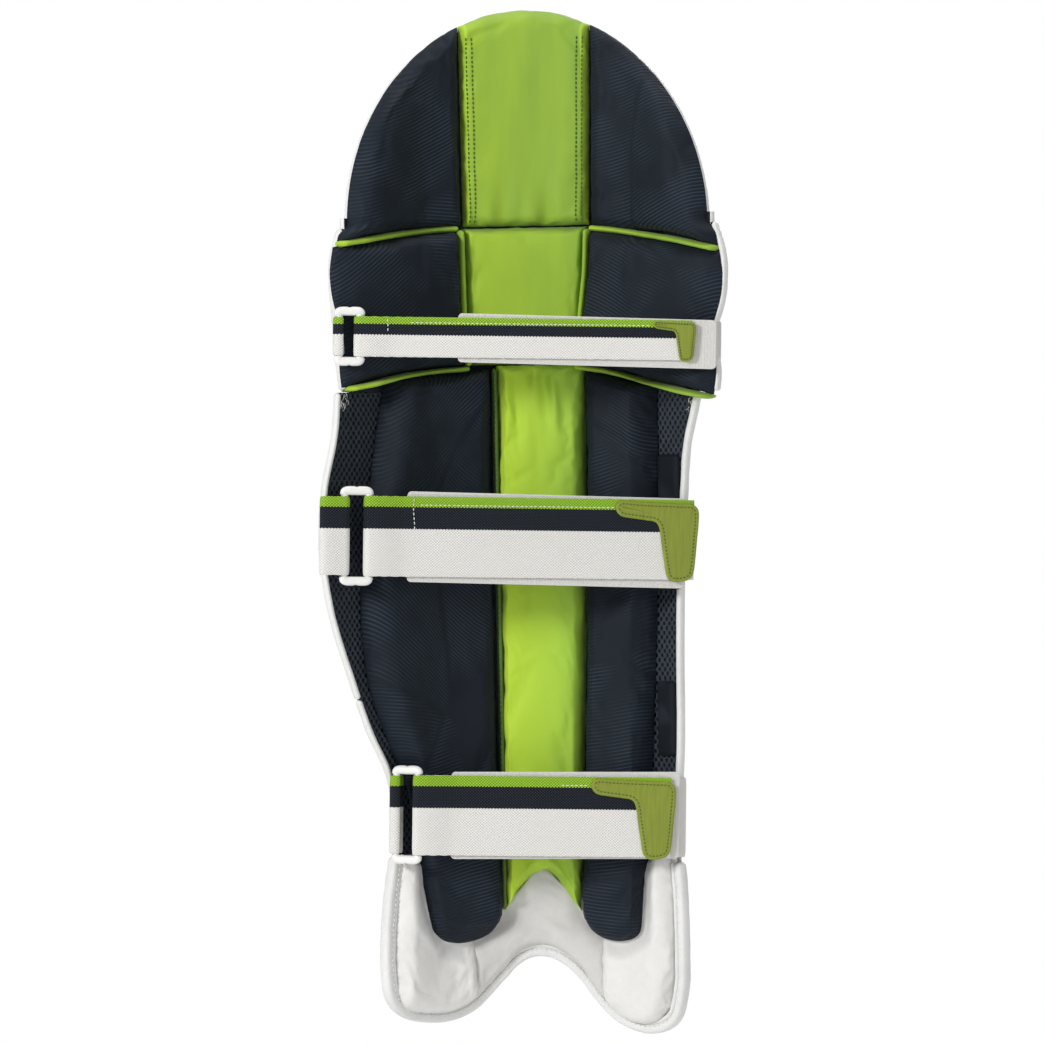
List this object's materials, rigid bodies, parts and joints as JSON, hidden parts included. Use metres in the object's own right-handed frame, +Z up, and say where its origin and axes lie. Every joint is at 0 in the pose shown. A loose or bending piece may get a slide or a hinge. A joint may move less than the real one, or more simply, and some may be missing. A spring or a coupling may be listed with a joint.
{
  "type": "cricket leg pad",
  "caption": "Padded leg guard with cane-filled vertical rolls in front, horizontal rolls and cups at the knee, a folding thigh flap, a side wing, and three ring-and-tape straps across the back.",
  "frame": {"origin": "On the axis of the leg, level with the lowest edge of the instep", "axes": "+Z up the leg, +Y the way the batter faces, +X towards the inner side of a left leg; the straps are at -Y"},
  "size_m": [0.2834, 0.1382, 0.6999],
  "materials": {
    "facing": "smooth white coated leather",
    "edge_binding": "folded white coated leather",
    "cane": "plain split cane",
    "foam": "cloth-covered foam",
    "mesh": "open spacer mesh",
    "navy_fabric": "navy fabric with fine embossed lines",
    "lime_fabric": "lime fabric, fading from yellow to green",
    "piping": "lime piping",
    "white_padding": "soft white coated leather",
    "webbing": "woven webbing, white with navy and lime bands",
    "loop_pile": "brushed loop pile",
    "hook_tape": "hook tape",
    "ring_plastic": "moulded white plastic",
    "tab_leather": "olive coated leather, stitched"
  },
  "bodies": {
    "pad": {"shin_face": "facing", "shin_rolls": "facing", "shin_canes": "cane", "shin_foam": "foam", "shin_liner": "mesh", "shin_binding": "edge_binding", "left_bolster": "navy_fabric", "right_bolster": "navy_fabric", "centre_bolster": "lime_fabric", "side_panel": "navy_fabric", "knee_face": "facing", "knee_rolls": "facing", "knee_foam": "foam", "knee_binding": "edge_binding", "left_knee_cup": "navy_fabric", "right_knee_cup": "navy_fabric", "centre_knee_cushion": "lime_fabric", "knee_cup_piping": "piping", "instep_face": "facing", "instep_foam": "foam", "instep_binding": "edge_binding", "instep_left_cushion": "white_padding", "instep_right_cushion": "white_padding", "instep_tongue": "white_padding", "knee_strap_base": "webbing", "calf_strap_base": "webbing", "ankle_strap_base": "webbing", "knee_loop_panel": "loop_pile", "calf_loop_panel": "loop_pile", "ankle_loop_panel": "loop_pile", "knee_anchor": "webbing", "ankle_anchor": "webbing"},
    "thigh_flap": {"top_face": "facing", "top_rolls": "facing", "top_canes": "cane", "top_foam": "foam", "top_binding": "edge_binding", "top_left_pad": "navy_fabric", "top_right_pad": "navy_fabric", "top_centre_strip": "lime_fabric"},
    "side_wing": {"wing_face": "facing", "wing_foam": "foam", "wing_liner": "mesh", "wing_binding": "edge_binding", "calf_anchor": "webbing"},
    "knee_ring_body": {"knee_ring": "ring_plastic", "knee_strap_turn": "webbing"},
    "knee_strap_end": {"knee_strap": "webbing", "knee_hook_patch": "hook_tape", "knee_pull_tab": "tab_leather"},
    "calf_ring_body": {"calf_ring": "ring_plastic", "calf_strap_turn": "webbing"},
    "calf_strap_end": {"calf_strap": "webbing", "calf_hook_patch": "hook_tape", "calf_pull_tab": "tab_leather"},
    "ankle_ring_body": {"ankle_ring": "ring_plastic", "ankle_strap_turn": "webbing"},
    "ankle_strap_end": {"ankle_strap": "webbing", "ankle_hook_patch": "hook_tape", "ankle_pull_tab": "tab_leather"}
  },
  "joints": [
    {"name": "knee_flex", "type": "hinge", "parent": "pad", "child": "thigh_flap", "pos_m": [0, 0.0715, 0.5505], "axis": [-1, 0, 0], "range_deg": [0, 8], "stiffness_Nm_per_rad": 1.5},
    {"name": "wing_flex", "type": "hinge", "parent": "pad", "child": "side_wing", "pos_m": [-0.13022, 0.00164, 0.336], "axis": [0, 0, -1], "range_deg": [0, 25], "stiffness_Nm_per_rad": 2},
    {"name": "knee_ring_pivot", "type": "hinge", "parent": "pad", "child": "knee_ring_body", "pos_m": [-0.12799, -0.028, 0.47724], "axis": [-0.0314, 0, -0.9995], "range_deg": [0, 35]},
    {"name": "knee_strap_peel", "type": "hinge", "parent": "knee_ring_body", "child": "knee_strap_end", "pos_m": [-0.11385, -0.0323, 0.4768], "axis": [-0.0314, 0, -0.9995], "range_deg": [0, 140]},
    {"name": "calf_ring_pivot", "type": "hinge", "parent": "side_wing", "child": "calf_ring_body", "pos_m": [-0.12733, -0.03804, 0.34295], "axis": [-0.0309, -0.0054, -0.9995], "range_deg": [0, 35]},
    {"name": "calf_strap_peel", "type": "hinge", "parent": "calf_ring_body", "child": "calf_strap_end", "pos_m": [-0.10911, -0.03921, 0.3424], "axis": [-0.0309, -0.0054, -0.9995], "range_deg": [0, 140]},
    {"name": "ankle_ring_pivot", "type": "hinge", "parent": "pad", "child": "ankle_ring_body", "pos_m": [-0.0967, 0.00644, 0.15348], "axis": [-0.0314, -0.0017, -0.9995], "range_deg": [0, 35]},
    {"name": "ankle_strap_peel", "type": "hinge", "parent": "ankle_ring_body", "child": "ankle_strap_end", "pos_m": [-0.08061, -0.00579, 0.15299], "axis": [-0.0314, -0.0017, -0.9995], "range_deg": [0, 140]}
  ]
}
